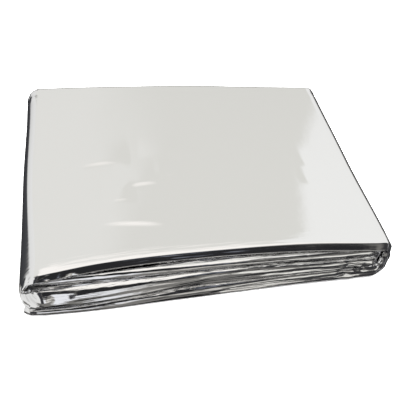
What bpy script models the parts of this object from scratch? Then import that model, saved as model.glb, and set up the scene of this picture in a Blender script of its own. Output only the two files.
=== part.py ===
"""Emergency blanket of metallised film, folded into a flat, puffy pack.

The blanket is one open sheet. It is doubled along the front, so that each front roll is a fold.
The doubled strip then goes back and forth: along the bottom, up round the right end, back over
the top, down round the left end, in to the right and back once more inside.
"""

import math
from collections import namedtuple

import bmesh
import bpy

MM = 0.001

# Thickness of a leaf, in millimetres like every size here: a leaf stands for many films
LEAF = 1.2

# Back edge of the pack where it crosses the middle, its slant and its curve
BACK_EDGE = 51.0
BACK_SLANT = -0.033
BACK_CURVE = -0.00035

# Places of the tables' left and right columns, of their front and back, and of the ends' front
LEFT_COLUMN = -60.0
RIGHT_COLUMN = 50.0
FRONT_ZONE = -34.0
BACK_ZONE = 40.0
NOSE_ZONE = -46.0

# Share of a wrap's low fullness that is left at its back, and in its inner leaf
LOW_AT_BACK = 0.2
LOW_INSIDE = 0.3

# Colour and finish of the film
BASE_COLOUR = (0.86, 0.87, 0.88, 1.0)
ROUGHNESS = 0.2

# Height of the middle of each leaf, from the floor up: along the back, then along the front
Leaf = namedtuple("Leaf", "back left middle right")
LEAVES = (
    Leaf(0.6, 0.6, 0.6, 0.6),
    Leaf(3.5, 2.4, 6.0, 6.3),
    Leaf(6.5, 4.1, 7.7, 8.1),
    Leaf(9.4, 12.3, 14.3, 12.3),
    Leaf(12.3, 13.9, 16.0, 14.2),
    Leaf(15.2, 16.6, 17.9, 17.2),
    Leaf(18.1, 19.6, 19.7, 19.4),
    Leaf(20.9, 21.4, 21.4, 21.4),
)

# Runs of the doubled strip: the level midway between its two leaves, whether its first leaf is
# the upper one, where its front roll lies from left to right, and its two back edges
Run = namedtuple("Run", "level upper far_left left middle right far_right first_back second_back")
RUNS = {
    "bottom": Run(0.5, -1, -49.7, -50.2, -49.2, -48.2, -48.0, 0.0, -0.9),
    "top": Run(6.5, 1, -48.0, -44.7, -43.3, -44.7, -47.4, 0.4, -0.7),
    "lower": Run(2.5, -1, -50.2, -49.7, -48.5, -47.8, -47.8, -0.4, -1.4),
    "inner": Run(4.5, 1, -45.6, -46.2, -46.7, -46.7, -47.0, -0.6, -1.2),
}
FRONT_COLUMNS = (-66.0, -42.0, -8.0, 34.0, 62.0)

# Turns that join the runs: the two runs, the side, where the turn starts from front to back, how
# far its inner and outer leaves stand out there and near the front, how far its corners are cut
# back, and how much fuller it is low down
TURN_COLUMNS = "first second side front middle back inner outer nose_inner nose_outer corner low"
Turn = namedtuple("Turn", TURN_COLUMNS)
TURNS = (
    Turn("bottom", "top", 1, 65.9, 64.6, 64.2, 2.8, 5.3, 2.3, 6.8, 1.2, 0.45),
    Turn("top", "lower", -1, -61.8, -63.2, -62.4, 2.5, 5.4, 1.9, 6.6, 0.6, 0.5),
    Turn("lower", "inner", 1, 63.0, 61.8, 61.4, 1.0, 3.0, 1.0, 3.0, 0.8, 0.0),
)

# Free left ends of the strip, from front to back
End = namedtuple("End", "front middle back")
BOTTOM_END = End(-67.6, -67.2, -66.2)
INNER_END = End(-59.4, -60.4, -60.0)

# Soft waves of the top, with their height, direction and start
Wave = namedtuple("Wave", "height across along start")
WAVES = (
    Wave(0.16, 0.061, 0.023, 0.4),
    Wave(0.12, -0.034, 0.087, 1.9),
    Wave(0.08, 0.118, -0.052, 3.1),
)

# Rows of points along the strip and across it
RUN_STEPS = 16
TURN_STEPS = {"bottom": 12, "top": 12, "lower": 8}
LEAF_ROWS = (0.0, 0.025, 0.075, 0.15, 0.26, 0.4, 0.56, 0.72, 0.87, 1.0)
FOLD_STEPS = 8


def blend(low, high, share):
    """Passes softly from the low value to the high one while share goes from 0 to 1."""
    share = min(max(share, 0.0), 1.0)
    return low + (high - low) * share * share * (3.0 - 2.0 * share)


def column_value(columns, values, place):
    """Draws a smooth curve through a row of values whose columns stand at the given places."""
    last = len(columns) - 1
    place = min(max(place, columns[0]), columns[last])
    i = 0
    while i < last - 1 and place > columns[i + 1]:
        i += 1
    slopes = []
    for k in (i, i + 1):
        low, high = max(k - 1, 0), min(k + 1, last)
        slopes.append((values[high] - values[low]) / (columns[high] - columns[low]))
    width = columns[i + 1] - columns[i]
    share = (place - columns[i]) / width
    rise = values[i + 1] - values[i]
    leave = slopes[0] * width - rise
    arrive = rise - slopes[1] * width
    bend = share * (1.0 - share) * (leave * (1.0 - share) + arrive * share)
    return values[i] + rise * share + bend


def rumple(x, y):
    """Gives the unevenness of the top, where it is whole."""
    lift = 0.0
    for wave in WAVES:
        lift += wave.height * math.sin(wave.across * x + wave.along * y + wave.start)
    return lift


def leaf_height(index, x, y):
    """Gives the height of one leaf at a place, even at the floor and uneven above."""
    leaf = LEAVES[index]
    if x < 0.0:
        front = blend(leaf.middle, leaf.left, x / LEFT_COLUMN)
    else:
        front = blend(leaf.middle, leaf.right, x / RIGHT_COLUMN)
    height = blend(leaf.back, front, (BACK_ZONE - y) / (BACK_ZONE - FRONT_ZONE))
    return height + rumple(x, y) * index / (len(LEAVES) - 1)


def level_height(level, x, y):
    """Gives the height at a level between two leaves."""
    index = min(int(level), len(LEAVES) - 2)
    low = leaf_height(index, x, y)
    high = leaf_height(index + 1, x, y)
    return low + (high - low) * (level - index)


def along_side(row, y):
    """Reads a row with front, middle and back columns."""
    if y < 0.0:
        return blend(row.middle, row.front, y / NOSE_ZONE)
    return blend(row.middle, row.back, y / BACK_ZONE)


def front_line(run, x):
    """Gives the front of a run's roll."""
    values = (run.far_left, run.left, run.middle, run.right, run.far_right)
    return column_value(FRONT_COLUMNS, values, x)


def back_line(x):
    """Gives the back edge, which slants and curves in at the right."""
    return BACK_EDGE + BACK_SLANT * x + BACK_CURVE * x * x


class RunStation:
    """A line across the strip where it lies flat."""

    def __init__(self, name, left, right, share):
        self.run = RUNS[name]
        self.left = left
        self.right = right
        self.share = share
        self.x = self.place(0.0)

    def place(self, y):
        low = along_side(self.left, y)
        return low + (along_side(self.right, y) - low) * self.share

    def front(self):
        return front_line(self.run, self.x)

    def back(self, first):
        return back_line(self.x) + (self.run.first_back if first else self.run.second_back)

    def point(self, offset, y):
        x = self.place(y)
        return x, level_height(self.run.level + self.run.upper * offset, x, y)


class TurnStation:
    """A line across the strip where it goes round an end."""

    def __init__(self, turn, share):
        self.turn = turn
        self.first = RUNS[turn.first]
        self.second = RUNS[turn.second]
        self.angle = math.pi * (share - 0.5) * (1 if self.second.level > self.first.level else -1)
        self.x = along_side(turn, 0.0)

    def mix(self, low, high):
        rise = math.sin(self.angle)
        if self.second.level < self.first.level:
            rise = -rise
        return low + (high - low) * (1.0 + rise) / 2.0

    def front(self):
        low = front_line(self.first, self.x)
        high = front_line(self.second, self.x)
        return self.mix(low, high) + self.turn.corner * math.cos(self.angle) ** 2

    def back(self, first):
        if first:
            shift = self.mix(self.first.first_back, self.second.first_back)
        else:
            shift = self.mix(self.first.second_back, self.second.second_back)
        return back_line(self.x) + shift - self.turn.corner * math.cos(self.angle) ** 2

    def point(self, offset, y):
        turn = self.turn
        x = along_side(turn, y)
        centre = (self.first.level + self.second.level) / 2.0
        radius = abs(self.first.level - self.second.level) / 2.0 + offset
        high = level_height(centre + radius, x, y)
        low = level_height(centre - radius, x, y)
        near = blend(0.0, 1.0, y / NOSE_ZONE)
        inner = turn.inner + (turn.nose_inner - turn.inner) * near
        outer = turn.outer + (turn.nose_outer - turn.outer) * near
        reach = inner + (outer - inner) * (offset + 0.5)
        sag = turn.low * (LOW_AT_BACK + (1.0 - LOW_AT_BACK) * near)
        sag = sag * (LOW_INSIDE + (1.0 - LOW_INSIDE) * (offset + 0.5))
        swell = 1.0 - sag * math.sin(self.angle)
        x += turn.side * reach * swell * math.cos(self.angle)
        return x, (high + low) / 2.0 + (high - low) / 2.0 * math.sin(self.angle)


def strip_stations():
    """Lists the lines across the strip, from its free end at the bottom to the one inside."""
    right_wrap, left_wrap, inner_turn = TURNS
    runs = (
        ("bottom", BOTTOM_END, right_wrap, right_wrap, 1),
        ("top", left_wrap, right_wrap, left_wrap, -1),
        ("lower", left_wrap, inner_turn, inner_turn, 1),
        ("inner", INNER_END, inner_turn, None, -1),
    )
    stations = []
    for name, left, right, turn, heading in runs:
        for i in range(RUN_STEPS + 1):
            share = i / RUN_STEPS
            stations.append(RunStation(name, left, right, share if heading > 0 else 1.0 - share))
        if turn:
            steps = TURN_STEPS[name]
            for i in range(1, steps):
                stations.append(TurnStation(turn, i / steps))
    return stations


def station_line(station):
    """Gives the points of one line: first leaf from the back, front roll, second leaf."""
    tip = station.front()
    outer = station.point(0.5, tip)
    inner = station.point(-0.5, tip)
    radius = 0.5 * math.dist(outer, inner)
    points = []
    for share in reversed(LEAF_ROWS):
        y = tip + radius + (station.back(True) - tip - radius) * share
        x, z = station.point(0.5, y)
        points.append((x, y, z))
    for i in range(1, FOLD_STEPS):
        angle = math.pi * (0.5 - i / FOLD_STEPS)
        y = tip + radius * (1.0 - math.cos(angle))
        x, z = station.point(0.5 * math.sin(angle), y)
        points.append((x, y, z))
    for share in LEAF_ROWS:
        y = tip + radius + (station.back(False) - tip - radius) * share
        x, z = station.point(-0.5, y)
        points.append((x, y, z))
    return points


def folded_sheet():
    """Lays a flat grid of the open sheet over the fold."""
    lines = [station_line(station) for station in strip_stations()]
    along = len(lines) - 1
    across = len(lines[0]) - 1
    sheet = bmesh.new()
    bmesh.ops.create_grid(sheet, x_segments=along, y_segments=across, size=1.0)
    places = [point for line in lines for point in line]
    centre_x = (min(p[0] for p in places) + max(p[0] for p in places)) / 2.0
    centre_y = (min(p[1] for p in places) - LEAF / 2.0 + max(p[1] for p in places)) / 2.0
    for vert in sheet.verts:
        i = round((vert.co.x + 1.0) / 2.0 * along)
        j = round((vert.co.y + 1.0) / 2.0 * across)
        x, y, z = lines[i][j]
        vert.co = ((x - centre_x) * MM, (y - centre_y) * MM, z * MM)
    for face in sheet.faces:
        face.smooth = True
    return sheet


def film_material():
    """Makes the bright, smooth metallised finish."""
    material = bpy.data.materials.new("foil")
    material.use_nodes = True
    shader = material.node_tree.nodes["Principled BSDF"]
    shader.inputs["Base Color"].default_value = BASE_COLOUR
    shader.inputs["Metallic"].default_value = 1.0
    shader.inputs["Roughness"].default_value = ROUGHNESS
    material.diffuse_color = BASE_COLOUR
    return material


def build():
    for old in list(bpy.data.objects):
        bpy.data.objects.remove(old)
    pack = bpy.data.collections.new("emergency_foil_blanket")
    bpy.context.scene.collection.children.link(pack)
    sheet = folded_sheet()
    mesh = bpy.data.meshes.new("foil_blanket")
    sheet.to_mesh(mesh)
    sheet.free()
    mesh.materials.append(film_material())
    blanket = bpy.data.objects.new("foil_blanket", mesh)
    pack.objects.link(blanket)
    thick = blanket.modifiers.new("leaf", "SOLIDIFY")
    thick.thickness = LEAF * MM
    thick.offset = 0.0
    thick.use_even_offset = True


build()
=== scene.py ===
"""Looks of the folded emergency blanket: thin creased mirror film laid over the fold of the frame."""

import math
from collections import namedtuple

import bmesh
import bpy
import numpy as np
from mathutils import Matrix


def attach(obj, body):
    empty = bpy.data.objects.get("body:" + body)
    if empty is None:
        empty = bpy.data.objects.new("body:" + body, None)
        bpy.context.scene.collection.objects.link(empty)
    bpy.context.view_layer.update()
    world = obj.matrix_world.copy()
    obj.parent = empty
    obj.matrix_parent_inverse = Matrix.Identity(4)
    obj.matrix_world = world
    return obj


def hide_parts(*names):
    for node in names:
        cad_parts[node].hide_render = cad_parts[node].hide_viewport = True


MM = 0.001

# Flat size of the strip as modelled, in metres
STRIP_WIDTH = 0.2

# Sizes of the folded strip, in millimetres: its leaf's thickness, and the back edge, which slants
# and curves
LEAF = 1.2
BACK_EDGE = 51.0
BACK_SLANT = -0.033
BACK_CURVE = -0.00035

# Where the left and right columns of a level stand, where its front and back rows are reached,
# and where a turn has its full front form
LEFT_COLUMN = -60.0
RIGHT_COLUMN = 50.0
FRONT_ZONE = -34.0
BACK_ZONE = 40.0
NOSE_ZONE = -46.0

# Height of the middle of each leaf, from the floor up: along the back, then along the front
Leaf = namedtuple("Leaf", "back left middle right")
LEAVES = (
    Leaf(0.6, 0.6, 0.6, 0.6),
    Leaf(3.5, 2.4, 6.0, 6.3),
    Leaf(6.5, 4.1, 7.7, 8.1),
    Leaf(9.4, 12.3, 14.3, 12.3),
    Leaf(12.3, 13.9, 16.0, 14.2),
    Leaf(15.2, 16.6, 17.9, 17.2),
    Leaf(18.1, 19.6, 19.7, 19.4),
    Leaf(20.9, 21.4, 21.4, 21.4),
)

# Runs of the doubled strip: the level midway between its two leaves, 1 where its first leaf is the
# upper one, where its front roll lies from left to right, how far its two back edges stand out,
# how much of its roll is a slanting face, and the power of its curve at the left and elsewhere
RUN_COLUMNS = (
    "level upper far_left left middle right far_right "
    "first_back second_back slant square_left square"
)
Run = namedtuple("Run", RUN_COLUMNS)
RUNS = {
    "bottom": Run(0.5, -1, -49.7, -50.2, -49.2, -48.2, -48.0, 0.0, -0.9, 0.0, 2.3, 3.8),
    "top": Run(6.5, 1, -48.0, -44.7, -43.3, -44.7, -47.4, 0.4, -0.7, 1.0, 2.0, 2.0),
    "lower": Run(2.5, -1, -50.2, -49.7, -48.5, -47.8, -47.8, -0.4, -1.4, 0.0, 2.4, 3.8),
    "inner": Run(4.5, 1, -45.6, -46.2, -46.7, -46.7, -47.0, -0.6, -1.2, 0.0, 2.2, 2.2),
}

# Where the five columns of a front roll stand along the pack
FRONT_COLUMNS = (-66.0, -42.0, -8.0, 34.0, 62.0)

# The slanting face of the top's roll: how low it ends, as a share of the roll's half height, how
# much further forward it reaches there, and how much more of it the wraps keep
FACE_END = -0.93
FACE_REACH = 0.7
WRAP_SLANT = 1.7

# Along the pack, the rolls pass from the power of the left to the other one between these places
SQUARE_FROM = -45.0
SQUARE_TO = 0.0

# Turns that join the runs: the side, 1 for the right, where they start at the front, in the middle
# and at the back, how far the inside and outside of the wrap reach along its length and at its
# front nose, how far its corners are drawn in, and how much fuller it is below than above
TURN_COLUMNS = "first second side front middle back inner outer nose_inner nose_outer corner low"
Turn = namedtuple("Turn", TURN_COLUMNS)
TURNS = (
    Turn("bottom", "top", 1, 65.9, 64.6, 64.2, 2.8, 5.3, 2.3, 6.8, 1.2, 0.45),
    Turn("top", "lower", -1, -61.8, -63.2, -62.4, 2.5, 5.4, 1.9, 6.9, 0.6, 0.4),
    Turn("lower", "inner", 1, 63.0, 61.8, 61.4, 1.0, 3.0, 1.0, 3.0, 0.8, 0.0),
)

# Free left ends of two runs, and how fast their front corners round off past a place
End = namedtuple("End", "front middle back")
BOTTOM_END = End(-68.9, -67.4, -66.2)
INNER_END = End(-65.0, -61.0, -60.0)
END_ROUND = 0.12
END_ROUND_FROM = -64.0

# How much of a turn's lower fullness is left at the back and on its inside
LOW_AT_BACK = 0.2
LOW_INSIDE = 0.3

# How much squarer the lower half of the left wall is at the front
WALL_FULLNESS = 0.5

# The left wrap closes to a crumpled point at the front: how much further its inside reaches there
PINCH = 3.9
PINCH_FROM = -37.0
PINCH_TO = -47.0

# The top bends down softly towards its front roll
EDGE_DROP = 0.35
EDGE_ZONE = 6.0

# Films inside a leaf, which show at its ragged back edge: how far they lie from its middle, how
# deep they reach in, and how crinkled they are
EDGE_LEVELS = (-0.3, 0.0, 0.3)
EDGE_DEPTH = 11.0
EDGE_ROWS = 5
EDGE_CRINKLE = 0.15

# Waves of the ragged edges: height, how fast they go along the pack, and how much of a film's own
# start they take, which differs from film to film and from one leaf to the other
RaggedWave = namedtuple("RaggedWave", "height along start")
RAGGED_WAVES = (
    RaggedWave(0.27, 0.9, 1.0),
    RaggedWave(0.18, 0.31, 2.0),
)
RAGGED_FILM = 1.7
RAGGED_LEAF = 0.9

# Soft waves of the top
Wave = namedtuple("Wave", "height across along start")
WAVES = (
    Wave(0.16, 0.061, 0.023, 0.4),
    Wave(0.12, -0.034, 0.087, 1.9),
    Wave(0.08, 0.118, -0.052, 3.1),
)

# The film as modelled: its thickness, and the steps between lines of points along each run and turn
FILM = 0.12
RUN_STEPS = {"bottom": 60, "top": 116, "lower": 80, "inner": 46}
TURN_STEPS = {"bottom": 22, "top": 34, "lower": 8}

# Rows of points across a leaf: where each zone starts, as a share from the roll to the back edge
Zone = namedtuple("Zone", "start rows")
FIRST_ZONES = (Zone(0.0, 15), Zone(0.13, 48), Zone(0.55, 26), Zone(0.98, 4), Zone(1.0, 0))
SECOND_ZONES = (Zone(0.0, 6), Zone(0.13, 4), Zone(0.985, 1), Zone(1.0, 0))
FOLD_STEPS = 25

# Streaks that run along the rolls: height, width, wander across and its length
Streak = namedtuple("Streak", "height width drift length start")
STREAKS = (
    Streak(0.13, 3.3, 0.8, 27.0, 0.3),
    Streak(0.08, 1.9, 0.5, 17.0, 2.1),
    Streak(0.04, 1.1, 0.3, 11.0, 4.4),
)

# A second, shorter wander of the streaks, and the slow swelling of their height
WANDER_SHARE = 0.6
WANDER_LENGTH = 0.37
WANDER_START = 1.7
SWELL_SHARE = 0.4
SWELL_LENGTH = 1.9
SWELL_START = 2.0

# How strong the streaks are, how far they reach from the front of a roll, and over how many lines
# of points one run's values pass into the next one's
STREAK_SHARES = {"bottom": 0.8, "top": 0.15, "lower": 0.6, "inner": 0.6, "turn": 0.12}
STREAK_REACH = 7.0
STREAK_REACH_TOP = 1.3
STREAK_SMOOTHING = 15

# Creases of the rolls: ends along the pack, how far above the roll's front, width and height
Crease = namedtuple("Crease", "run x_from x_to up_from up_to width height")
CREASES = (
    Crease("lower", -72.0, -4.0, -4.9, 1.0, 1.5, 0.75),
    Crease("lower", -56.0, 30.0, 3.4, 2.2, 0.9, 0.22),
    Crease("lower", -30.0, 58.0, 0.6, -0.4, 0.8, -0.22),
    Crease("lower", -2.0, 66.0, -2.4, -1.4, 0.9, 0.25),
    Crease("bottom", -64.0, -10.0, 2.0, 0.2, 0.9, -0.30),
    Crease("bottom", -8.0, 72.0, 2.9, 2.7, 0.9, 0.35),
)

# How sharply a crease's ridge stands out, and how far creases and puckers keep their height
CREASE_SHARPNESS = 1.5
ARCH_FULLNESS = 0.7

# Crumpled places: centre, size, height and length of the folds
Crumple = namedtuple("Crumple", "x y z radius height length")
CRUMPLES = (
    Crumple(-60.5, -47.2, 15.8, 4.2, 1.35, 4.2),
    Crumple(-67.8, -48.0, 2.6, 4.4, 0.80, 2.3),
    Crumple(68.0, -46.5, 11.0, 6.5, 0.95, 3.8),
    Crumple(55.5, -48.5, 7.0, 6.0, 1.00, 3.0),
    Crumple(-65.0, 48.0, 18.0, 5.0, 0.30, 3.6),
    Crumple(67.0, 44.0, 18.0, 4.0, 0.25, 3.2),
)

# Each crumpled place is a sum of straight folds: how many, the turn and shift from one to the next,
# and their strength
CRUMPLE_FOLDS = 6
CRUMPLE_TURN = 2.4
CRUMPLE_SHIFT = 0.37
CRUMPLE_STRENGTH = 1.6

# Places of the front that are pulled flat: centre, how far the facet faces left of the front and
# up, in degrees, its size, and how much less high than wide it is
Facet = namedtuple("Facet", "x y z turn rise radius flatness")
FACETS = (
    Facet(-65.8, -47.6, 10.0, 40.0, 17.0, 8.0, 1.6),
    Facet(-55.9, -49.4, 10.8, 2.0, 24.0, 4.8, 1.0),
    Facet(-50.6, -47.3, 18.4, 2.0, 24.0, 3.0, 1.0),
    Facet(22.0, -48.9, 2.2, 0.0, 17.0, 24.0, 7.0),
)

# Share of a facet's size that is fully flat, and how long it holds where the film turns away from it
FACET_PLATEAU = 0.7
FACET_GRIP = 2.0

# Soft puckers of the top film: ends, bow to the back, width and height
Pucker = namedtuple("Pucker", "x_from y_from x_to y_to bow width height")
PUCKERS = (
    Pucker(-50.0, 2.4, -27.0, 4.6, 1.6, 2.6, 0.70),
    Pucker(-33.0, -9.8, -14.0, -7.8, 1.2, 2.3, 0.60),
    Pucker(-17.0, -4.2, -7.0, -4.6, 0.4, 1.7, 0.34),
    Pucker(-37.0, -15.8, -27.0, -15.3, 0.4, 2.0, 0.46),
    Pucker(-42.0, -26.4, -15.0, -28.8, 0.6, 1.8, 0.40),
    Pucker(-22.0, 7.4, 1.0, 6.0, 0.5, 2.2, 0.30),
    Pucker(43.0, -0.5, 50.0, -4.0, 0.0, 2.0, 0.10),
    Pucker(42.0, -11.0, 48.0, -14.5, 0.0, 2.0, 0.09),
)

# How much softer a pucker is behind its ridge, and how far the puckers stay from the front roll
PUCKER_BACK = 3.4
PUCKER_CLEAR = 2.0

# How crinkled the film is where it lies flat, how much more it is at the front of a roll, and how
# far that reaches
Crinkle = namedtuple("Crinkle", "flat roll")
CRINKLES = {
    "bottom": Crinkle(0.15, 0.85),
    "top": Crinkle(0.0, 0.3),
    "lower": Crinkle(0.15, 0.85),
    "inner": Crinkle(0.15, 0.85),
    "turn": Crinkle(0.06, 0.22),
}
CRINKLE_REACH = 6.0

# Power of a bell curve that stays near 1 over most of its reach
FLAT_BELL = 4


def blend_linear(low, high, share):
    """Passes evenly from the low value to the high one while share goes from 0 to 1."""
    return low + (high - low) * share


def blend(low, high, share):
    """Passes softly from the low value to the high one while share goes from 0 to 1."""
    share = np.clip(share, 0.0, 1.0)
    return low + (high - low) * share * share * (3.0 - 2.0 * share)


def arch(share):
    """Rises from 0 at one end to 1 in the middle and falls to 0 at the other end."""
    return 4.0 * share * (1.0 - share)


def arch_fade(share):
    """Fades a crease or pucker out towards its ends."""
    return np.clip(arch(share), 0.0, 1.0) ** ARCH_FULLNESS


def bell(distance, reach, power=2):
    """Is 1 at no distance and falls softly to 0 past the reach."""
    return np.exp(-((distance / reach) ** power))


def column_value(columns, values, place):
    """Draws a smooth curve through a row of values whose columns stand at the given places."""
    last = len(columns) - 1
    place = min(max(place, columns[0]), columns[last])
    i = 0
    while i < last - 1 and place > columns[i + 1]:
        i += 1
    slopes = []
    for k in (i, i + 1):
        low, high = max(k - 1, 0), min(k + 1, last)
        slopes.append((values[high] - values[low]) / (columns[high] - columns[low]))
    width = columns[i + 1] - columns[i]
    share = (place - columns[i]) / width
    rise = values[i + 1] - values[i]
    leave = slopes[0] * width - rise
    arrive = rise - slopes[1] * width
    bend = share * (1.0 - share) * (leave * (1.0 - share) + arrive * share)
    return values[i] + rise * share + bend


def rumple(x, y):
    """Gives the unevenness of the top, where it is whole."""
    lift = 0.0
    for wave in WAVES:
        lift = lift + wave.height * np.sin(wave.across * x + wave.along * y + wave.start)
    return lift


def level_height(level, x, y):
    """Gives the height at a level, even at the floor and uneven above."""
    share = (BACK_ZONE - y) / (BACK_ZONE - FRONT_ZONE)
    lift = rumple(x, y)
    heights = []
    for index, leaf in enumerate(LEAVES):
        to_left = blend(leaf.middle, leaf.left, x / LEFT_COLUMN)
        to_right = blend(leaf.middle, leaf.right, x / RIGHT_COLUMN)
        front = np.where(x < 0.0, to_left, to_right)
        heights.append(blend(leaf.back, front, share) + lift * index / (len(LEAVES) - 1))
    heights = np.stack(np.broadcast_arrays(*heights))
    index = np.clip(np.floor(level).astype(int), 0, len(LEAVES) - 2)
    index = np.broadcast_to(index, heights.shape[1:])
    low = np.take_along_axis(heights, index[None], 0)[0]
    high = np.take_along_axis(heights, index[None] + 1, 0)[0]
    return low + (high - low) * (level - index)


def along_side(row, y):
    """Reads a row with front, middle and back columns."""
    to_front = blend(row.middle, row.front, y / NOSE_ZONE)
    to_back = blend(row.middle, row.back, y / BACK_ZONE)
    return np.where(y < 0.0, to_front, to_back)


def front_line(run, x):
    """Gives the front of a run's roll."""
    values = (run.far_left, run.left, run.middle, run.right, run.far_right)
    return column_value(FRONT_COLUMNS, values, x)


def squareness(run, x):
    """Gives the power of the roll's curve, 2 for a round one."""
    return float(blend(run.square_left, run.square, (x - SQUARE_FROM) / (SQUARE_TO - SQUARE_FROM)))


def back_line(x):
    """Gives the back edge, which slants and curves in at the right."""
    return BACK_EDGE + BACK_SLANT * x + BACK_CURVE * x * x


class RunStation:
    """A line across the strip where it lies flat."""

    def __init__(self, name, left, right, share):
        self.name = name
        self.run = RUNS[name]
        self.left = left
        self.right = right
        self.share = share
        self.x = float(self.place(np.array(0.0)))

    def place(self, y):
        """Gives where the line stands along the pack, which changes from front to back."""
        low = along_side(self.left, y)
        return low + (along_side(self.right, y) - low) * self.share

    def front(self):
        tip = front_line(self.run, self.x)
        if self.left in (BOTTOM_END, INNER_END):
            tip = tip + END_ROUND * max(END_ROUND_FROM - self.x, 0.0) ** 2
        return tip

    def slant(self):
        return self.run.slant

    def square(self):
        return squareness(self.run, self.x)

    def back(self, first):
        return back_line(self.x) + (self.run.first_back if first else self.run.second_back)

    def point(self, offset, y):
        """Gives x and z at an offset from the run's level: 0.5 on its first leaf, -0.5 on its second."""
        x = self.place(y)
        return x, level_height(self.run.level + self.run.upper * offset, x, y)


class TurnStation:
    """A line across the strip where it goes round an end."""

    def __init__(self, turn, share):
        self.name = "turn"
        self.turn = turn
        self.first = RUNS[turn.first]
        self.second = RUNS[turn.second]
        self.angle = math.pi * (share - 0.5) * (1 if self.second.level > self.first.level else -1)
        self.x = float(along_side(turn, np.array(0.0)))

    def mix(self, low, high):
        """Passes from a value of the first run to one of the second on the way round."""
        rise = math.sin(self.angle)
        if self.second.level < self.first.level:
            rise = -rise
        return low + (high - low) * (1.0 + rise) / 2.0

    def front(self):
        low = front_line(self.first, self.x)
        high = front_line(self.second, self.x)
        return self.mix(low, high) + self.turn.corner * math.cos(self.angle) ** 2

    def slant(self):
        return min(WRAP_SLANT * self.mix(self.first.slant, self.second.slant), 1.0)

    def square(self):
        return self.mix(squareness(self.first, self.x), squareness(self.second, self.x))

    def back(self, first):
        if first:
            shift = self.mix(self.first.first_back, self.second.first_back)
        else:
            shift = self.mix(self.first.second_back, self.second.second_back)
        return back_line(self.x) + shift - self.turn.corner * math.cos(self.angle) ** 2

    def point(self, offset, y):
        """Gives x and z at an offset from the turn's middle: 0.5 on its outside, -0.5 on its inside."""
        turn = self.turn
        x = along_side(turn, y)
        centre = (self.first.level + self.second.level) / 2.0
        radius = abs(self.first.level - self.second.level) / 2.0 + offset
        high = level_height(centre + radius, x, y)
        low = level_height(centre - radius, x, y)
        near = blend(0.0, 1.0, y / NOSE_ZONE)
        inner = turn.inner + (turn.nose_inner - turn.inner) * near
        outer = turn.outer + (turn.nose_outer - turn.outer) * near
        if turn.side < 0:
            inner = inner + blend(0.0, PINCH, (y - PINCH_FROM) / (PINCH_TO - PINCH_FROM))
        reach = inner + (outer - inner) * (offset + 0.5)
        sag = turn.low * (LOW_AT_BACK + (1.0 - LOW_AT_BACK) * near)
        sag = sag * (LOW_INSIDE + (1.0 - LOW_INSIDE) * (offset + 0.5))
        swell = 1.0 - sag * math.sin(self.angle)
        full = math.cos(self.angle)
        if turn.side < 0 and self.angle < 0.0:
            full = full ** (1.0 - WALL_FULLNESS * near)
        x = x + turn.side * reach * swell * full
        return x, (high + low) / 2.0 + (high - low) / 2.0 * math.sin(self.angle)


def strip_stations():
    """Lists the lines across the strip, from its free end at the bottom to the one inside."""
    right_wrap, left_wrap, inner_turn = TURNS
    runs = (
        ("bottom", BOTTOM_END, right_wrap, right_wrap, 1),
        ("top", left_wrap, right_wrap, left_wrap, -1),
        ("lower", left_wrap, inner_turn, inner_turn, 1),
        ("inner", INNER_END, inner_turn, None, -1),
    )
    stations = []
    for name, left, right, turn, heading in runs:
        steps = RUN_STEPS[name]
        for i in range(steps + 1):
            share = i / steps
            stations.append(RunStation(name, left, right, share if heading > 0 else 1.0 - share))
        if turn:
            steps = TURN_STEPS[name]
            for i in range(1, steps):
                stations.append(TurnStation(turn, i / steps))
    return stations


def row_shares(zones):
    """Gives where the rows lie across a leaf, from the roll to the back edge."""
    shares = [np.array([0.0])]
    for zone, after in zip(zones, zones[1:]):
        shares.append(np.linspace(zone.start, after.start, zone.rows + 1)[1:])
    return np.concatenate(shares)


FIRST_ROWS = row_shares(FIRST_ZONES)
SECOND_ROWS = row_shares(SECOND_ZONES)
TIP_ROW = len(FIRST_ROWS) - 1 + (FOLD_STEPS + 1) // 2


def roll_profile(station, radius, angle):
    """Gives how far the roll stands forward: round, squarer, or with a slanting face above."""
    height = np.sin(angle)
    power = station.square()
    round_face = radius * np.clip(1.0 - np.abs(height) ** power, 0.0, 1.0) ** (1.0 / power)
    face = (1.0 - height) / (1.0 - FACE_END)
    under = np.sqrt(np.clip(1.0 - ((FACE_END - height) / (1.0 + FACE_END)) ** 2, 0.0, 1.0))
    slanted = (radius + FACE_REACH) * np.where(height > FACE_END, face, under)
    return blend_linear(round_face, slanted, station.slant())


def station_line(station):
    """Gives the points of one line: first leaf from the back, front roll, second leaf."""
    tip = station.front()
    outer = station.point(np.array(0.5), np.array(tip))
    inner = station.point(np.array(-0.5), np.array(tip))
    radius = 0.5 * math.dist(outer, inner)
    turn = math.pi * (0.5 - np.arange(1, FOLD_STEPS) / FOLD_STEPS)
    start = tip + radius
    first = start + (station.back(True) - start) * FIRST_ROWS[::-1]
    roll = start - roll_profile(station, radius, turn)
    second = start + (station.back(False) - start) * SECOND_ROWS
    y = np.concatenate([first, roll, second])
    offset = [np.full(len(first), 0.5), 0.5 * np.sin(turn), np.full(len(second), -0.5)]
    offset = np.concatenate(offset)
    x, z = station.point(offset, y)
    bend = np.clip(1.0 - (y - start) / EDGE_ZONE, 0.0, 1.0) ** 2
    z = z - EDGE_DROP * station.slant() * bend
    return np.stack([x, y, z], axis=-1)


def edge_line(station, first, start):
    """Gives the points of one line near the ragged back edge of a leaf."""
    back = station.back(first)
    for wave in RAGGED_WAVES:
        back = back + wave.height * math.sin(wave.along * station.x + wave.start * start)
    y = back - EDGE_DEPTH * np.linspace(0.0, 1.0, EDGE_ROWS + 1)
    if not first:
        y = y[::-1]
    x, z = station.point(np.full(len(y), 0.5 if first else -0.5), y)
    return np.stack([x, y, z], axis=-1)


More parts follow.
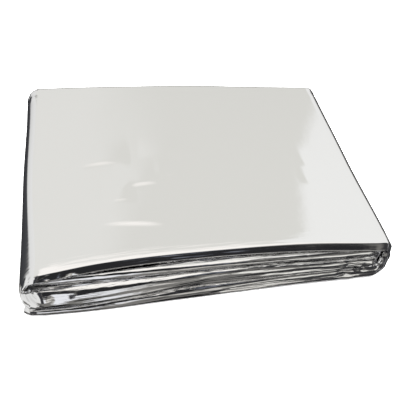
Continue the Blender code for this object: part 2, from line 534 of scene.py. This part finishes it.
class Strip:
    """The middle surface of the folded strip: its points, normals and distances along and across."""

    def __init__(self, stations, lines, tip_row, centre=None):
        self.stations = stations
        self.points = np.stack(lines)
        low = self.points.min(axis=(0, 1))
        high = self.points.max(axis=(0, 1))
        # The frame's origin lies under the middle of the solid, whose rolls stand half a leaf further out
        if centre is None:
            centre = np.array([(low[0] + high[0]) / 2.0, (low[1] - LEAF / 2.0 + high[1]) / 2.0, 0.0])
        self.centre = centre
        self.points -= self.centre
        along = np.gradient(self.points, axis=0)
        across = np.gradient(self.points, axis=1)
        normals = np.cross(along, across)
        self.normals = normals / np.linalg.norm(normals, axis=-1, keepdims=True)
        steps = np.linalg.norm(np.diff(self.points, axis=1), axis=-1)
        reach = np.concatenate([np.zeros((len(steps), 1)), np.cumsum(steps, axis=1)], axis=1)
        self.across = reach - reach[:, [tip_row]]
        steps = np.linalg.norm(np.diff(self.points, axis=0), axis=-1).mean(axis=1)
        self.along = np.concatenate([[0.0], np.cumsum(steps)])

    def named(self, name):
        return np.array([station.name == name for station in self.stations])


def folded_wave(phase):
    """Goes straight up and straight down again between -1 and 1, as flat facets between creases."""
    return 2.0 * np.abs(2.0 * (phase - np.floor(phase + 0.5))) - 1.0


def along_smooth(values):
    """Lets values for each line across the strip pass softly into the next ones."""
    window = np.ones(STREAK_SMOOTHING) / STREAK_SMOOTHING
    padded = np.pad(values, STREAK_SMOOTHING // 2, mode="edge")
    return np.convolve(padded, window, mode="valid")


def streaks(strip):
    """Gives the long streaks that run along the rolls."""
    shares = along_smooth(np.array([STREAK_SHARES[station.name] for station in strip.stations]))
    along = strip.along[:, None]
    lift = np.zeros_like(strip.across)
    for streak in STREAKS:
        wander = streak.drift * np.sin(along / streak.length + streak.start)
        second = np.sin(along / (WANDER_LENGTH * streak.length) + WANDER_START)
        wander = wander + streak.drift * WANDER_SHARE * second
        swell = np.sin(along / (SWELL_LENGTH * streak.length) + SWELL_START * streak.start)
        swell = 1.0 - SWELL_SHARE + SWELL_SHARE * swell
        lift += streak.height * swell * folded_wave((strip.across + wander) / streak.width)
    reach = along_smooth(np.where(strip.named("top"), STREAK_REACH_TOP, STREAK_REACH))[:, None]
    return lift * shares[:, None] * bell(strip.across, reach, FLAT_BELL)


def creases(strip):
    """Gives the creases listed for the rolls."""
    x = strip.points[..., 0] + strip.centre[0]
    lift = np.zeros_like(x)
    for crease in CREASES:
        up = -strip.across * RUNS[crease.run].upper
        share = (x - crease.x_from) / (crease.x_to - crease.x_from)
        away = np.abs(up - blend_linear(crease.up_from, crease.up_to, share))
        ridge = crease.height * arch_fade(share) * bell(away, crease.width, CREASE_SHARPNESS)
        lift += np.where(strip.named(crease.run)[:, None], ridge, 0.0)
    return lift


def crumples(strip):
    """Gives the crumpled places, as flat facets that meet in sharp creases."""
    lift = np.zeros(strip.points.shape[:2])
    places = strip.points + strip.centre
    for place in CRUMPLES:
        centre = np.array([place.x, place.y, place.z])
        distance = np.linalg.norm(places - centre, axis=-1)
        folds = np.zeros_like(lift)
        for i in range(CRUMPLE_FOLDS):
            turn = CRUMPLE_TURN * i + place.x
            rise = 1.0 - (2.0 * i + 1.0) / CRUMPLE_FOLDS
            level = math.sqrt(1.0 - rise * rise)
            direction = np.array([level * math.cos(turn), level * math.sin(turn), rise])
            phase = places @ direction / place.length + CRUMPLE_SHIFT * i
            folds += folded_wave(phase)
        mask = bell(distance, place.radius)
        lift += mask * place.height * folds / CRUMPLE_FOLDS * CRUMPLE_STRENGTH
    return lift


def pull_flat(places, normals, depth):
    """Cuts the front back to its flat facets, and the film behind it by the depth more."""
    for facet in FACETS:
        turn = math.radians(facet.turn)
        rise = math.radians(facet.rise)
        level = math.cos(rise)
        facing = np.array([-level * math.sin(turn), -level * math.cos(turn), math.sin(rise)])
        offset = places - np.array([facet.x, facet.y, facet.z])
        distance = np.linalg.norm(offset * (1.0, 1.0, facet.flatness), axis=-1)
        weight = blend(1.0, 0.0, (distance / facet.radius - FACET_PLATEAU) / (1.0 - FACET_PLATEAU))
        weight = weight * np.clip(FACET_GRIP * np.abs(normals @ facing), 0.0, 1.0)
        places = places - (weight * np.maximum(offset @ facing + depth, 0.0))[..., None] * facing
    return places


def puckers(strip):
    """Gives the soft puckers of the top film."""
    x = strip.points[..., 0] + strip.centre[0]
    y = strip.points[..., 1] + strip.centre[1]
    lift = np.zeros_like(x)
    for pucker in PUCKERS:
        share = (x - pucker.x_from) / (pucker.x_to - pucker.x_from)
        away = y - blend_linear(pucker.y_from, pucker.y_to, share) - pucker.bow * arch(share)
        away = away / np.where(away > 0.0, PUCKER_BACK, 1.0)
        lift += pucker.height * arch_fade(share) * bell(away, pucker.width)
    top = strip.named("top")[:, None] & (strip.across < -PUCKER_CLEAR)
    return np.where(top, lift, 0.0)


def crinkle_weight(strip):
    """Gives how crinkled the film is: most along the rolls and in the crumples, least on the flat."""
    flat, roll = np.array([CRINKLES[station.name] for station in strip.stations]).T[:, :, None]
    weight = flat + roll * bell(strip.across, CRINKLE_REACH, FLAT_BELL)
    places = strip.points + strip.centre
    for place in CRUMPLES:
        distance = np.linalg.norm(places - np.array([place.x, place.y, place.z]), axis=-1)
        weight = np.maximum(weight, place.height * bell(distance, place.radius))
    return weight


def film_places(strip, offset, lift):
    """Gives the film's points in metres, at an offset from the middle surface and above the floor."""
    places = strip.points + strip.normals * (offset + lift)[..., None] + strip.centre
    places = pull_flat(places, strip.normals, LEAF / 2.0 - offset)
    places = (places - strip.centre) * MM
    places[..., 2] = np.maximum(places[..., 2], FILM * MM)
    return places


def film_object(name, strip, offset, lift, weight):
    """Makes one thin film from a grid, with its distances along and across the strip as its UV map."""
    places = film_places(strip, offset, lift)
    along, across = places.shape[0] - 1, places.shape[1] - 1
    sheet = bmesh.new()
    uv = sheet.loops.layers.uv.new("film")
    bmesh.ops.create_grid(sheet, x_segments=along, y_segments=across, size=1.0)
    crinkle = sheet.verts.layers.float.new("crinkle")
    cells = {}
    for vert in sheet.verts:
        i = round((vert.co.x + 1.0) / 2.0 * along)
        j = round((vert.co.y + 1.0) / 2.0 * across)
        cells[vert] = (i, j)
        vert.co = places[i, j]
        vert[crinkle] = weight[i, j]
    for face in sheet.faces:
        face.smooth = True
        for loop in face.loops:
            i, j = cells[loop.vert]
            loop[uv].uv = (strip.along[i] * MM, strip.across[i, j] * MM)
    mesh = bpy.data.meshes.new(name)
    sheet.to_mesh(mesh)
    sheet.free()
    piece = bpy.data.objects.new(name, mesh)
    bpy.context.scene.collection.objects.link(piece)
    thick = piece.modifiers.new("film", "SOLIDIFY")
    thick.thickness = FILM * MM
    thick.offset = -1.0 if offset > 0 else 1.0
    return piece


def crinkled_film(strip):
    """Makes the films of both faces of the strip; the creases show on the outer one."""
    lift = streaks(strip) + creases(strip) + crumples(strip) + puckers(strip)
    weight = crinkle_weight(strip)
    outer = film_object("outer_film", strip, LEAF / 2.0, lift, weight)
    inner = film_object("inner_film", strip, -LEAF / 2.0, np.zeros_like(lift), weight)
    return outer, inner


def edge_films(strip):
    """Makes the films inside both leaves, as deep as they show at the back edge."""
    films = []
    for first, side in ((True, "first"), (False, "second")):
        for k, level in enumerate(EDGE_LEVELS):
            start = RAGGED_FILM * k + RAGGED_LEAF * first
            lines = [edge_line(station, first, start) for station in strip.stations]
            edge = Strip(strip.stations, lines, 0, strip.centre)
            even = np.zeros_like(edge.across)
            name = "edge_film_" + side + "_" + str(k + 1)
            films.append(film_object(name, edge, level, even, even + EDGE_CRINKLE))
    return films


class Nodes:
    """Adds nodes to one tree and joins them."""

    def __init__(self, tree):
        self.tree = tree

    def add(self, kind, inputs=(), **settings):
        """Adds a node; each input is a value, or a socket that is linked to it."""
        node = self.tree.nodes.new(kind)
        for name, value in settings.items():
            setattr(node, name, value)
        for key, value in dict(inputs).items():
            if isinstance(value, bpy.types.NodeSocket):
                self.tree.links.new(value, node.inputs[key])
            else:
                node.inputs[key].default_value = value
        return node

    def math(self, operation, *values):
        return self.add("ShaderNodeMath", dict(enumerate(values)), operation=operation).outputs[0]


def new_group(name, inputs, outputs):
    """Makes a shader node group with named inputs and outputs."""
    group = bpy.data.node_groups.new(name, "ShaderNodeTree")
    for label, kind, value in inputs:
        socket = group.interface.new_socket(label, in_out="INPUT", socket_type=kind)
        if value is not None:
            socket.default_value = value
    for label, kind in outputs:
        group.interface.new_socket(label, in_out="OUTPUT", socket_type=kind)
    nodes = Nodes(group)
    return group, nodes, nodes.add("NodeGroupInput").outputs, nodes.add("NodeGroupOutput").inputs


# Mirror film: its shader's values, and the length along the strip, width across it and depth of
# its coarse and fine crinkles and of its slight unevenness
FILM_COLOUR = (0.92, 0.92, 0.92, 1.0)
FILM_TINT = (0.5, 0.5, 0.52, 1.0)
FILM_ROUGHNESS = 0.06
CrinkleSize = namedtuple("CrinkleSize", "length width depth")
COARSE_CRINKLE = CrinkleSize(22.0, 1.5, 0.12)
FINE_CRINKLE = CrinkleSize(8.0, 0.7, 0.034)
RIPPLE_LENGTH = 14.0
RIPPLE_DEPTH = 0.05

# Noise that bends the crinkles, and detail of the unevenness
BEND_SCALE = 0.7
BEND_DETAIL = 2.0
RIPPLE_DETAIL = 3.0


def crinkle_group():
    """Fine crinkles of film: flat facets, long along the strip and narrow across it."""
    sockets = (
        ("Film", "NodeSocketVector", None),
        ("Weight", "NodeSocketFloat", 1.0),
        ("Length", "NodeSocketFloat", COARSE_CRINKLE.length),
        ("Width", "NodeSocketFloat", COARSE_CRINKLE.width),
        ("Depth", "NodeSocketFloat", COARSE_CRINKLE.depth),
    )
    group, nodes, given, result = new_group("film_crinkle", sockets, [("Height", "NodeSocketFloat")])
    split = nodes.add("ShaderNodeSeparateXYZ", {0: given["Film"]}).outputs
    along = nodes.math("DIVIDE", nodes.math("DIVIDE", split[0], MM), given["Length"])
    across = nodes.math("DIVIDE", nodes.math("DIVIDE", split[1], MM), given["Width"])
    place = nodes.add("ShaderNodeCombineXYZ", {0: along, 1: across}).outputs[0]
    noise = {"Vector": place, "Scale": BEND_SCALE, "Detail": BEND_DETAIL}
    bend = nodes.add("ShaderNodeTexNoise", noise).outputs["Color"]
    moved = nodes.add("ShaderNodeVectorMath", {0: place, 1: bend}).outputs[0]
    cells = nodes.add("ShaderNodeTexVoronoi", {"Vector": moved, "Scale": 1.0}, distance="MANHATTAN")
    depth = nodes.math("MULTIPLY", cells.outputs["Distance"], given["Depth"])
    depth = nodes.math("MULTIPLY", depth, given["Weight"])
    nodes.tree.links.new(nodes.math("MULTIPLY", depth, MM), result["Height"])
    return group


def ripple_group():
    """Slight unevenness of the flat film."""
    sockets = (
        ("Film", "NodeSocketVector", None),
        ("Length", "NodeSocketFloat", RIPPLE_LENGTH),
        ("Depth", "NodeSocketFloat", RIPPLE_DEPTH),
    )
    group, nodes, given, result = new_group("film_ripple", sockets, [("Height", "NodeSocketFloat")])
    scale = nodes.math("DIVIDE", 1.0 / MM, given["Length"])
    place = nodes.add("ShaderNodeVectorMath", {0: given["Film"], "Scale": scale}, operation="SCALE")
    noise = {"Vector": place.outputs[0], "Scale": 1.0, "Detail": RIPPLE_DETAIL}
    uneven = nodes.add("ShaderNodeTexNoise", noise).outputs["Fac"]
    depth = nodes.math("MULTIPLY", uneven, given["Depth"])
    nodes.tree.links.new(nodes.math("MULTIPLY", depth, MM), result["Height"])
    return group


def film_material(crinkle, ripple):
    """Mirror film, crinkled in two sizes where its weight says, and slightly uneven all over."""
    material = bpy.data.materials.new("mirror_film")
    material.use_nodes = True
    nodes = Nodes(material.node_tree)
    shader = material.node_tree.nodes["Principled BSDF"]
    film = nodes.add("ShaderNodeUVMap", uv_map="film").outputs[0]
    weight = nodes.add("ShaderNodeAttribute", attribute_name="crinkle").outputs["Fac"]
    heights = []
    for size in (COARSE_CRINKLE, FINE_CRINKLE):
        values = {"Film": film, "Weight": weight}
        values.update({"Length": size.length, "Width": size.width, "Depth": size.depth})
        heights.append(nodes.add("ShaderNodeGroup", values, node_tree=crinkle).outputs[0])
    height = nodes.math("ADD", *heights)
    values = {"Film": film, "Length": RIPPLE_LENGTH, "Depth": RIPPLE_DEPTH}
    uneven = nodes.add("ShaderNodeGroup", values, node_tree=ripple).outputs[0]
    height = nodes.math("ADD", height, uneven)
    bump = nodes.add("ShaderNodeBump", {"Height": height, "Distance": 1.0, "Strength": 1.0})
    nodes.tree.links.new(bump.outputs[0], shader.inputs["Normal"])
    shader.inputs["Base Color"].default_value = FILM_COLOUR
    shader.inputs["Metallic"].default_value = 1.0
    shader.inputs["Roughness"].default_value = FILM_ROUGHNESS
    shader.inputs["Specular Tint"].default_value = FILM_TINT
    return material


# Studio: soft panels round the object, by azimuth from the back towards the right, elevation,
# half sizes and softness in degrees, by how much they move to the right as they rise above a level,
# and light. A later panel covers the ones before it
PANEL_LEVEL = 30.0
Panel = namedtuple("Panel", "azimuth elevation half_width half_height softness slant colour")
SKY_BASE = (0.20, 0.195, 0.185)
PANELS = (
    Panel(0.0, -90.0, 400.0, 28.0, 4.0, 0.0, (0.015, 0.015, 0.016)),
    Panel(120.0, -26.0, 30.0, 40.0, 3.0, 0.0, (0.05, 0.05, 0.052)),
    Panel(112.0, -22.0, 5.0, 26.0, 3.0, 0.0, (0.35, 0.35, 0.36)),
    Panel(134.0, -8.0, 4.0, 18.0, 3.0, 0.0, (0.30, 0.29, 0.27)),
    Panel(185.0, -15.0, 38.0, 9.0, 4.0, 0.0, (0.62, 0.60, 0.57)),
    Panel(155.5, -14.0, 8.0, 11.0, 3.0, 0.0, (0.88, 0.87, 0.83)),
    Panel(17.0, -36.0, 73.0, 24.0, 3.0, 0.0, (0.075, 0.077, 0.082)),
    Panel(-83.0, 12.0, 57.0, 24.0, 4.0, 0.0, (0.82, 0.82, 0.81)),
    Panel(-100.0, -7.0, 42.0, 29.0, 4.0, 0.0, (0.82, 0.82, 0.81)),
    Panel(0.0, 76.0, 100.0, 46.0, 2.5, 0.0, (0.745, 0.740, 0.705)),
    Panel(-31.0, 72.0, 36.0, 45.0, 5.0, 0.0, (0.80, 0.795, 0.765)),
    Panel(86.0, 51.0, 58.5, 37.0, 1.3, 0.45, (0.90, 0.90, 0.885)),
    Panel(152.5, 38.0, 4.0, 26.0, 2.0, 0.0, (0.17, 0.165, 0.155)),
    Panel(128.0, 38.0, 21.0, 30.0, 3.0, 0.0, (0.04, 0.04, 0.042)),
    Panel(175.0, 38.0, 18.0, 26.0, 3.0, 0.0, (0.022, 0.022, 0.024)),
    Panel(-150.0, 5.0, 14.0, 48.0, 3.0, 0.0, (0.04, 0.04, 0.045)),
    Panel(-173.0, -13.0, 9.0, 17.0, 3.0, 0.0, (0.85, 0.86, 0.90)),
    Panel(163.5, 44.0, 4.5, 10.0, 2.0, 0.0, (0.16, 0.17, 0.20)),
    Panel(0.0, 90.0, 400.0, 24.0, 7.0, 0.0, (1.02, 0.99, 0.955)),
)

# Sockets of a Mix node that mixes colours
MIX_UNDER = 6
MIX_OVER = 7
MIX_COLOUR = 2


def soft_span(nodes, away, half, softness):
    """Is 1 where the distance is under half and falls softly to 0 outside."""
    span = {
        "Value": nodes.math("ABSOLUTE", away),
        "From Min": half - softness,
        "From Max": half + softness,
        "To Min": 1.0,
        "To Max": 0.0,
    }
    return nodes.add("ShaderNodeMapRange", span, interpolation_type="SMOOTHSTEP").outputs[0]


def panel_mask(nodes, panel, azimuth, elevation):
    """Is 1 on a panel and 0 elsewhere."""
    rise = nodes.math("SUBTRACT", elevation, PANEL_LEVEL)
    turned = nodes.math("ADD", azimuth, nodes.math("MULTIPLY", rise, -panel.slant))
    away = nodes.math("WRAP", nodes.math("SUBTRACT", turned, panel.azimuth), 180.0, -180.0)
    wide = soft_span(nodes, away, panel.half_width, panel.softness)
    away = nodes.math("SUBTRACT", elevation, panel.elevation)
    high = soft_span(nodes, away, panel.half_height, panel.softness)
    return nodes.math("MULTIPLY", wide, high)


def studio_sky():
    """Surrounds the pack with the soft panels, which its film mirrors."""
    world = bpy.data.worlds.new("studio")
    bpy.context.scene.world = world
    world.use_nodes = True
    nodes = Nodes(world.node_tree)
    heading = nodes.add("ShaderNodeTexCoord").outputs["Generated"]
    x, y, z = nodes.add("ShaderNodeSeparateXYZ", {0: heading}).outputs
    azimuth = nodes.math("MULTIPLY", nodes.math("ARCTAN2", x, y), 180.0 / math.pi)
    elevation = nodes.math("MULTIPLY", nodes.math("ARCSINE", z), 180.0 / math.pi)
    colour = (*SKY_BASE, 1.0)
    for panel in PANELS:
        mask = panel_mask(nodes, panel, azimuth, elevation)
        mixed = {"Factor": mask, MIX_UNDER: colour, MIX_OVER: (*panel.colour, 1.0)}
        colour = nodes.add("ShaderNodeMix", mixed, data_type="RGBA").outputs[MIX_COLOUR]
    nodes.tree.links.new(colour, world.node_tree.nodes["Background"].inputs["Color"])


# Camera, as worked out from the photo's outline: millimetres and degrees
CAMERA_PLACE = (-43.3, -149.3, 179.4)
CAMERA_LENS = 48.4
CAMERA_AZIMUTH = 17.7
CAMERA_ELEVATION = 49.1
CAMERA_ROLL = 9.6
CAMERA_SENSOR = 36.0
CAMERA_NEAR = 0.01

# Floor and the broad light above it
FLOOR_SIZE = 3.0
FLOOR_COLOUR = (0.9, 0.9, 0.9, 1.0)
FLOOR_ROUGHNESS = 0.9
LIGHT_STRENGTH = 9.0
LIGHT_ANGLE = 60.0


def camera(strip):
    """Looks at the pack from the photo's side."""
    lens = bpy.data.cameras.new("camera")
    lens.sensor_width = CAMERA_SENSOR
    lens.lens = CAMERA_LENS
    lens.clip_start = CAMERA_NEAR
    holder = bpy.data.objects.new("camera", lens)
    bpy.context.scene.collection.objects.link(holder)
    turn = Matrix.Rotation(math.radians(-CAMERA_AZIMUTH), 4, "Z")
    tilt = Matrix.Rotation(math.radians(90.0 - CAMERA_ELEVATION), 4, "X")
    roll = Matrix.Rotation(math.radians(CAMERA_ROLL), 4, "Z")
    place = Matrix.Translation([(a - b) * MM for a, b in zip(CAMERA_PLACE, strip.centre)])
    holder.matrix_world = place @ turn @ tilt @ roll
    bpy.context.scene.camera = holder


def floor():
    """Lays the pale floor, which the film doesn't mirror."""
    bpy.ops.mesh.primitive_grid_add(x_subdivisions=2, y_subdivisions=2, size=FLOOR_SIZE)
    ground = bpy.context.object
    ground.name = "floor"
    material = bpy.data.materials.new("pale_floor")
    material.use_nodes = True
    shader = material.node_tree.nodes["Principled BSDF"]
    shader.inputs["Base Color"].default_value = FLOOR_COLOUR
    shader.inputs["Roughness"].default_value = FLOOR_ROUGHNESS
    shader.inputs["Specular IOR Level"].default_value = 0.0
    ground.data.materials.append(material)
    ground.visible_glossy = False


def overhead_light():
    """Lights the floor evenly from above, without a mirror image in the film."""
    lamp = bpy.data.lights.new("overhead", "SUN")
    lamp.energy = LIGHT_STRENGTH
    lamp.angle = math.radians(LIGHT_ANGLE)
    holder = bpy.data.objects.new("overhead", lamp)
    holder.visible_glossy = False
    bpy.context.scene.collection.objects.link(holder)


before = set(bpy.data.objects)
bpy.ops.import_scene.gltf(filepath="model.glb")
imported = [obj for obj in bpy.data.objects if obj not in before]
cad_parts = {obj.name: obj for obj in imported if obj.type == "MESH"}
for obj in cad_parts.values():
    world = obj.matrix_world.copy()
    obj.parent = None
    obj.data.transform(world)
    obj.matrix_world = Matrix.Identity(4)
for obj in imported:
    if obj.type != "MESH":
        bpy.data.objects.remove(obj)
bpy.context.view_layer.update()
stations = strip_stations()
strip = Strip(stations, [station_line(station) for station in stations], TIP_ROW)
camera(strip)
studio_sky()
floor()
overhead_light()
bpy.context.scene.view_settings.view_transform = "Standard"

foil = film_material(crinkle_group(), ripple_group())
outer_film, inner_film = crinkled_film(strip)
pieces = [(outer_film, STRIP_WIDTH), (inner_film, STRIP_WIDTH)]
pieces += [(film, EDGE_DEPTH * MM) for film in edge_films(strip)]
for piece, width in pieces:
    piece.data.materials.append(foil)
    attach(piece, "root")
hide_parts("foil_blanket")
